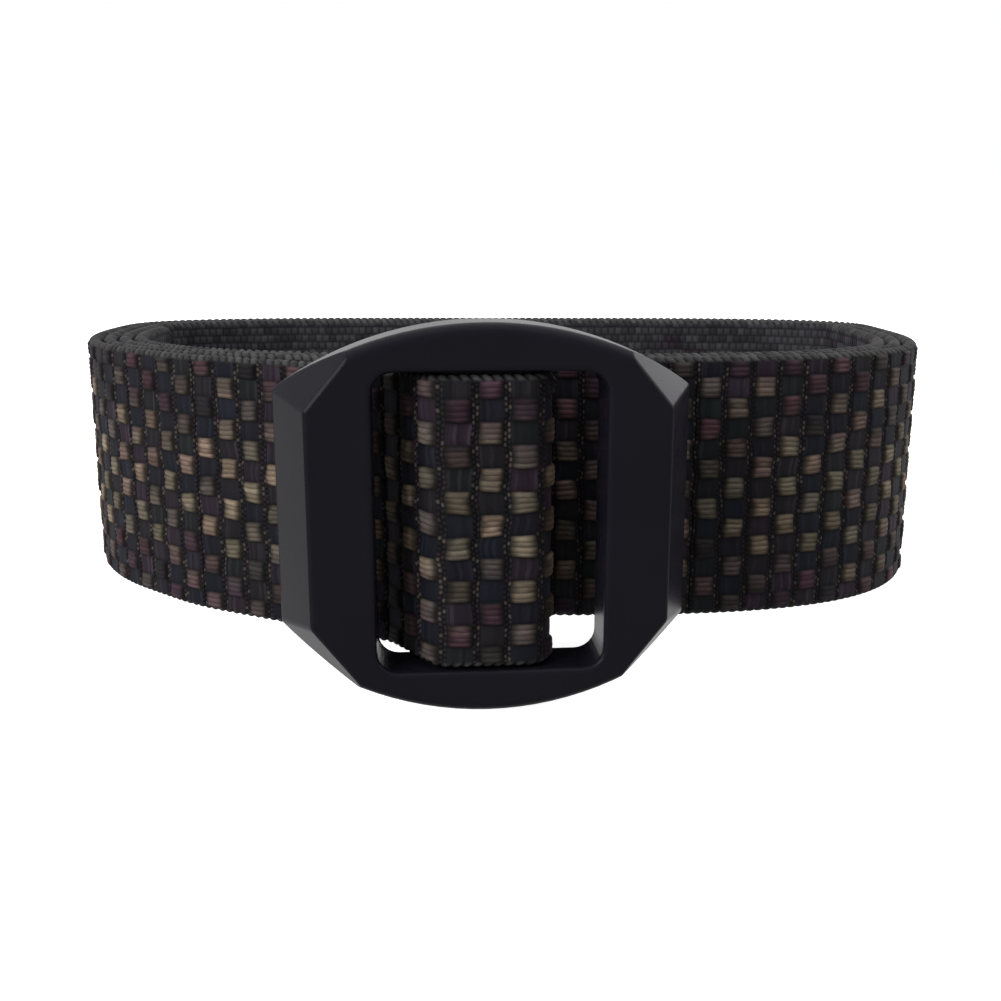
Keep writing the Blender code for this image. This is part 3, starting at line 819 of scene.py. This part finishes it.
class Graph:
    """Builds a material's nodes by plain calls, each of which returns an output socket."""

    def __init__(self, name):
        self.material = bpy.data.materials.new(name)
        self.material.use_nodes = True
        self.tree = self.material.node_tree
        self.shader = self.tree.nodes["Principled BSDF"]

    def feed(self, socket, value):
        if isinstance(value, bpy.types.NodeSocket):
            self.tree.links.new(value, socket)
        else:
            socket.default_value = value

    def node(self, kind, inputs, **settings):
        node = self.tree.nodes.new(kind)
        for key, value in settings.items():
            setattr(node, key, value)
        for key, value in inputs.items():
            self.feed(node.inputs[key], value)
        return node

    def math(self, operation, a, b=0.0, c=0.0):
        inputs = {0: a, 1: b, 2: c}
        return self.node("ShaderNodeMath", inputs, operation=operation).outputs[0]

    def add(self, a, b):
        return self.math("ADD", a, b)

    def minus(self, a, b):
        return self.math("SUBTRACT", a, b)

    def times(self, a, b):
        return self.math("MULTIPLY", a, b)

    def less(self, a, b):
        return self.math("LESS_THAN", a, b)

    def spread(self, value, low, high):
        """Moves a value that runs from 0 to 1 to run from low to high."""
        return self.math("MULTIPLY_ADD", value, high - low, low)

    def vector(self, x, y, z):
        return self.node("ShaderNodeCombineXYZ", {0: x, 1: y, 2: z}).outputs[0]

    def fold(self, value):
        """0 in the middle between two whole numbers, and 1 at each of them."""
        return self.math("ABSOLUTE", self.spread(self.math("FRACT", value), -1.0, 1.0))

    def body(self, fold, power, middle, side):
        """Painted highlight and shade over a rounded part: the brightness factor from its middle to
        its sides.
        """
        return self.spread(self.math("POWER", fold, power), middle, side)

    def random(self, x, y, purpose):
        """A steady random value from 0 to 1 for each pair of whole numbers and each purpose."""
        inputs = {"Vector": self.vector(x, y, purpose)}
        return self.node("ShaderNodeTexWhiteNoise", inputs, noise_dimensions="3D").outputs["Value"]

    def noise(self, place, scale, detail, roughness):
        inputs = {"Vector": place, "Scale": scale, "Detail": detail, "Roughness": roughness}
        return self.node("ShaderNodeTexNoise", inputs).outputs["Fac"]

    def mix(self, share, a, b, blend="MIX"):
        """A mix of two colours."""
        node = self.node("ShaderNodeMix", {0: share}, data_type="RGBA", blend_type=blend)
        colours_in = [socket for socket in node.inputs if socket.type == "RGBA"]
        colours_out = [socket for socket in node.outputs if socket.type == "RGBA"]
        self.feed(colours_in[0], a)
        self.feed(colours_in[1], b)
        return colours_out[0]

    def scaled(self, colour, factor):
        """A colour made brighter or darker."""
        grey = self.node("ShaderNodeCombineColor", {0: factor, 1: factor, 2: factor}).outputs[0]
        return self.mix(1.0, colour, grey, "MULTIPLY")

    def ramp(self, value, stops, interpolation="LINEAR"):
        node = self.node("ShaderNodeValToRGB", {"Fac": value})
        ramp = node.color_ramp
        ramp.interpolation = interpolation
        while len(ramp.elements) < len(stops):
            ramp.elements.new(0.5)
        for element, (position, colour) in zip(ramp.elements, stops):
            element.position = position
            element.color = (*colour, 1.0)
        return node.outputs["Color"]

    def step(self, value, low, high):
        """0 up to low, 1 from high, and smooth between."""
        inputs = {0: value, 1: low, 2: high}
        node = self.node("ShaderNodeMapRange", inputs, interpolation_type="SMOOTHSTEP")
        return node.outputs[0]

    def bump(self, height, strength, distance, normal=(0.0, 0.0, 0.0)):
        inputs = {"Height": height, "Strength": strength, "Distance": distance, "Normal": normal}
        return self.node("ShaderNodeBump", inputs).outputs["Normal"]


class Weave(Graph):
    """A graph that knows where on the weave each point of the strap lies."""

    def __init__(self, name):
        super().__init__(name)
        place = self.node("ShaderNodeUVMap", {}, uv_map="weave").outputs["UV"]
        parts = self.node("ShaderNodeSeparateXYZ", {0: place})
        self.along = parts.outputs[0]
        self.signed = parts.outputs[1]  # the way round the section, negative on the reverse face
        size = self.math("ABSOLUTE", self.signed)
        self.around = self.math("MINIMUM", size, self.minus(2 * HALF_ROUND, size))
        self.from_edge = self.math("MINIMUM", self.around, self.minus(HALF_ROUND, self.around))
        columns = self.times(self.minus(self.along, COLUMN_PHASE), 1 / COLUMN)
        self.column = self.math("FLOOR", columns)
        self.within = self.times(self.minus(columns, self.column), COLUMN)
        self.rows = self.times(self.minus(self.around, ROW_MARGIN), 1 / ROW)
        self.row = self.math("FLOOR", self.rows)
        parity = self.math("FRACT", self.times(self.add(self.row, self.column), 0.5))
        self.raised = self.less(parity, 0.25)


def woven_material(name, sealed_from=None):
    """Brick-weave webbing, whose colours follow the rows and columns of its relief.

    sealed_from is the distance along the strap past which the webbing has melted together.
    """
    g = Weave(name)
    fibres = fibre_noise(g)
    colour = g.scaled(weave_colour(g), g.spread(fibres, *FIBRE_SHADES))
    roughness = g.spread(fibres, *WEBBING_ROUGHNESS)
    if sealed_from is not None:
        melted = g.step(g.along, sealed_from, sealed_from + SEALED_FADE)
        colour = g.mix(melted, colour, (*SOOT, 1.0))
        roughness = g.minus(roughness, g.times(melted, SEALED_SMOOTHER))
    g.feed(g.shader.inputs["Base Color"], colour)
    g.feed(g.shader.inputs["Roughness"], roughness)
    g.shader.inputs["Specular IOR Level"].default_value = WEBBING_GLOSS
    g.feed(g.shader.inputs["Normal"], g.bump(fibres, *FIBRE_BUMP))
    return g.material


def fibre_noise(g):
    """Fine fibres, along the strap on the raised bricks and up it on the sunk blocks."""
    raised_place = g.vector(g.along, g.times(g.signed, RAISED_FIBRES), 0.0)
    sunk_place = g.vector(g.times(g.along, SUNK_FIBRES), g.signed, SUNK_FIBRES_PLACE)
    raised = g.times(g.noise(raised_place, *FIBRE_NOISE), g.raised)
    sunk = g.times(g.noise(sunk_place, *FIBRE_NOISE), g.minus(1.0, g.raised))
    return g.add(raised, sunk)


def weave_colour(g):
    """The yarns' colours on both faces and round the edges."""
    colour = g.mix(g.raised, sunk_colour(g), brick_colour(g))
    colour = g.mix(g.less(BRICK, g.within), colour, bead_colour(g))
    colour = g.mix(g.less(g.signed, 0.0), colour, back_colour(g))
    off_edge = g.step(g.from_edge, EDGE_BAND - EDGE_COLOUR_FADE, EDGE_BAND)
    return g.mix(g.minus(1.0, off_edge), colour, edge_colour(g))


def brick_colour(g):
    """Raised bricks of warp: tan and olive in the middle rows, maroon towards the edges, with painted
    shade between yarns and rows and at the ends, and a painted highlight along the middle.
    """
    pick = g.random(g.column, g.row, FOR_BRICK)
    from_middle = g.fold(g.times(g.around, 1 / HALF_ROUND))
    scatter = g.spread(g.random(g.column, g.row, FOR_OUTER), -OUTER_SCATTER, OUTER_SCATTER)
    outer = g.step(g.add(from_middle, scatter), OUTER_FROM, OUTER_TO)
    colour = g.mix(outer, g.ramp(pick, MIDDLE_BRICKS), g.ramp(pick, OUTER_BRICKS))
    yarns = g.times(g.rows, YARNS)
    yarn = g.math("FLOOR", yarns)
    brick_shade = g.spread(g.random(g.column, g.row, FOR_BRICK_SHADE), *BRICK_SHADES)
    yarn_shade = g.spread(g.random(g.column, yarn, FOR_YARN), *YARN_SHADES)
    # Painted shade in the gaps between yarns and between rows of bricks, with a painted highlight on
    # each crown
    yarn_painted_shade = g.body(g.fold(yarns), *YARN_PAINTED_SHADE)
    brick_painted_shade = g.body(g.fold(g.rows), *BRICK_PAINTED_SHADE)
    # Painted shade at each brick's ends, reaching in further on some yarns than others, and a painted
    # highlight along its middle
    from_end = g.math("MINIMUM", g.within, g.minus(BRICK, g.within))
    tooth = g.spread(g.random(g.column, yarn, FOR_TOOTH), *TEETH)
    painted_ends = g.spread(g.step(from_end, 0.0, g.add(tooth, TEETH_FADE)), *BRICK_END_PAINTED_SHADE)
    shade = g.times(g.times(brick_shade, yarn_shade), painted_ends)
    return g.scaled(colour, g.times(shade, g.times(yarn_painted_shade, brick_painted_shade)))


def sunk_colour(g):
    """Dark blocks of weft between the bricks, with upright yarns and painted shade along their top and
    bottom.
    """
    colour = g.ramp(g.random(g.column, g.row, FOR_SUNK), SUNK_BLOCKS)
    upright = g.math("FLOOR", g.times(g.within, UPRIGHTS))
    yarn = g.add(g.times(g.column, UPRIGHT_STRIDE), upright)
    pick = g.math("POWER", g.random(yarn, g.row, FOR_UPRIGHT), UPRIGHT_RARENESS)
    shade = g.spread(pick, *SUNK_SHADES)
    # Painted shade along the top and bottom of each block
    return g.scaled(colour, g.times(shade, g.body(g.fold(g.rows), *SUNK_PAINTED_SHADE)))


def bead_colour(g):
    """The narrow binding columns: dark, with light specks where a thread comes up, and painted shade
    round each bead.
    """
    half = (COLUMN - BRICK) / 2
    second = g.less(BRICK + half, g.within)
    beads = g.add(g.times(g.rows, YARNS), g.times(second, 0.5))
    strand = g.add(g.times(g.column, 2.0), second)
    colour = g.ramp(g.random(strand, g.math("FLOOR", beads), FOR_BEAD), BEADS, "CONSTANT")
    # Painted shade round each bead, darkest at its rim, and a painted highlight in its core
    up = g.fold(beads)
    across = g.fold(g.times(g.minus(g.within, BRICK), 1 / half))
    reach = g.math("SQRT", g.add(g.times(up, up), g.times(across, across)))
    return g.scaled(colour, g.spread(g.step(reach, BEAD_CORE, 1.0), *BEAD_PAINTED_SHADE))


def back_colour(g):
    """The reverse face: small dark grey bumps, a little browner here and there, with painted shade
    round each bump.
    """
    colour = g.ramp(g.random(g.column, g.row, FOR_BACK), BACK_BUMPS)
    levels = g.times(g.minus(g.around, ROW_MARGIN), 1 / BACK_BUMP_HEIGHT)
    level = g.math("FLOOR", levels)
    shift = g.math("FRACT", g.times(level, 0.5))
    bumps = g.add(g.times(g.along, 1 / BACK_BUMP_LENGTH), shift)
    shade = g.spread(g.random(g.math("FLOOR", bumps), level, FOR_BUMP), *BUMP_SHADES)
    # Painted shade round each bump and a painted highlight on its top
    reach = g.math("MAXIMUM", g.fold(bumps), g.fold(levels))
    return g.scaled(colour, g.times(shade, g.body(reach, *BUMP_PAINTED_SHADE)))


def edge_colour(g):
    """The edge's loops, in grey, with painted shade in the gaps between them."""
    upper = g.less(HALF_ROUND / 2, g.around)
    from_edge = g.times(g.from_edge, g.math("SIGN", g.signed))
    loops = g.add(g.times(g.along, 1 / EDGE_LOOP), g.times(from_edge, EDGE_SLANT))
    shade = g.spread(g.random(g.math("FLOOR", loops), upper, FOR_LOOP), *LOOP_SHADES)
    # Painted shade in the gaps between loops and a painted highlight on their crowns
    return g.scaled((*EDGE_GREY, 1.0), g.times(shade, g.body(g.fold(loops), *LOOP_PAINTED_SHADE)))


def plastic_material():
    """Moulded near-black plastic with a fine grain."""
    g = Graph("moulded_plastic")
    place = g.node("ShaderNodeTexCoord", {}).outputs["Object"]
    grain = g.noise(place, *GRAIN_NOISE)
    clouds = g.noise(place, *CLOUD_NOISE)
    g.feed(g.shader.inputs["Base Color"], g.ramp(clouds, PLASTIC_CLOUDS))
    g.feed(g.shader.inputs["Roughness"], g.spread(clouds, *PLASTIC_ROUGHNESS))
    g.shader.inputs["Specular IOR Level"].default_value = PLASTIC_GLOSS
    rounding = g.node("ShaderNodeBevel", {"Radius": EDGE_ROUND}, samples=EDGE_ROUND_SAMPLES)
    g.feed(g.shader.inputs["Normal"], g.bump(grain, *GRAIN_BUMP, rounding.outputs["Normal"]))
    return g.material


def thread_material():
    """Dense polyester thread."""
    g = Graph("stitching_thread")
    place = g.node("ShaderNodeTexCoord", {}).outputs["Object"]
    twist = g.noise(place, *TWIST_NOISE)
    g.feed(g.shader.inputs["Base Color"], g.ramp(twist, THREAD_TWIST))
    g.feed(g.shader.inputs["Normal"], g.bump(twist, *TWIST_BUMP))
    g.shader.inputs["Roughness"].default_value = THREAD_ROUGHNESS
    return g.material


# Studio


def make_camera():
    data = bpy.data.cameras.new("camera")
    data.sensor_width = SENSOR_WIDTH
    data.lens = FOCAL_LENGTH
    data.clip_start = CLIP_START
    camera = bpy.data.objects.new("camera", data)
    bpy.context.scene.collection.objects.link(camera)
    turn = Matrix.Rotation(math.pi / 2 - CAMERA_PITCH, 4, "X")
    place = BELT @ CAMERA_PLACE
    camera.matrix_world = Matrix.Translation(place) @ BELT.to_3x3().normalized().to_4x4() @ turn
    bpy.context.scene.camera = camera


def add_sky_light(name, place, spread, strength):
    """A soft light from far away, which reaches the whole floor evenly."""
    data = bpy.data.lights.new(name, "SUN")
    data.angle = math.radians(spread)
    data.energy = strength
    light = bpy.data.objects.new(name, data)
    light.location = place
    aim = BELT_MIDDLE - Vector(place)
    light.rotation_euler = aim.to_track_quat("-Z", "Y").to_euler()
    bpy.context.scene.collection.objects.link(light)


def make_sky():
    """An even white sky, which shows and shines back but lights nothing directly."""
    world = bpy.data.worlds.new("studio")
    world.use_nodes = True
    background = world.node_tree.nodes["Background"]
    background.inputs["Color"].default_value = (1.0, 1.0, 1.0, 1.0)
    background.inputs["Strength"].default_value = SKY_GLOW
    bpy.context.scene.world = world
    world.cycles_visibility.diffuse = False


def make_floor():
    """A white floor that glows a little, so that the shadows on it stay faint."""
    bpy.ops.mesh.primitive_plane_add(size=FLOOR_SIZE)
    floor = bpy.context.object
    floor.name = "floor"
    g = Graph("floor")
    g.shader.inputs["Base Color"].default_value = (FLOOR_WHITE, FLOOR_WHITE, FLOOR_WHITE, 1.0)
    g.shader.inputs["Roughness"].default_value = FLOOR_ROUGHNESS
    g.shader.inputs["Emission Color"].default_value = (1.0, 1.0, 1.0, 1.0)
    g.shader.inputs["Emission Strength"].default_value = FLOOR_GLOW
    floor.data.materials.append(g.material)
    floor.visible_diffuse = False
    floor.visible_glossy = False


def make_studio():
    make_sky()
    make_floor()
    for light in SKY_LIGHTS:
        add_sky_light(*light)


def finish_cad_nodes(plastic):
    for name in ("buckle_frame", "centre_bar"):
        node = frame["nodes"][name]
        node.data.materials.clear()
        node.data.materials.append(plastic)


make_webbing(
    woven_material("webbing"),
    woven_material("sealed_webbing", STRAP.last - SEALED_START),
)
make_stitching(thread_material())
finish_cad_nodes(plastic_material())
make_camera()
make_studio()
bpy.context.scene.view_settings.view_transform = "Standard"
